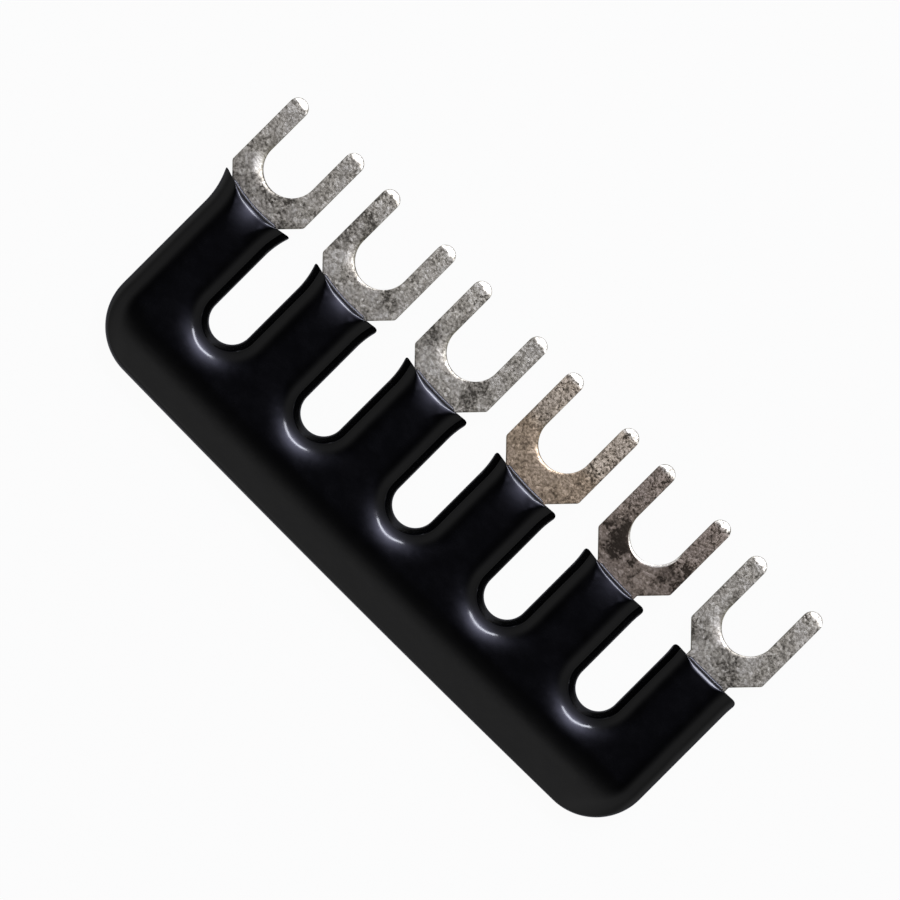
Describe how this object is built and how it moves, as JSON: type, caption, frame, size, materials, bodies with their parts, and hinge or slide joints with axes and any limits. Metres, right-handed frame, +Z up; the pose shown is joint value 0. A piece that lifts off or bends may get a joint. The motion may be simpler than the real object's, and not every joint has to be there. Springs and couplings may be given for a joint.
{
  "type": "fork terminal jumper",
  "caption": "Comb-shaped terminal jumper: plated open forks on a common bar under a glossy dipped vinyl sleeve, for bridging neighbouring screws of a barrier terminal strip.",
  "frame": {"origin": "middle of the whole outline, on the underside of the sleeve", "axes": "+X along the row of forks, +Y from the bar to the fork tips, +Z up through the sheet"},
  "size_m": [0.0518, 0.0224, 0.003],
  "materials": {
    "plated_metal": "dull mottled tin plate on a stamped sheet",
    "vinyl_coat": "glossy dipped vinyl"
  },
  "bodies": {
    "root": {"fork_comb": "plated_metal", "insulating_sleeve": "vinyl_coat"}
  },
  "joints": []
}
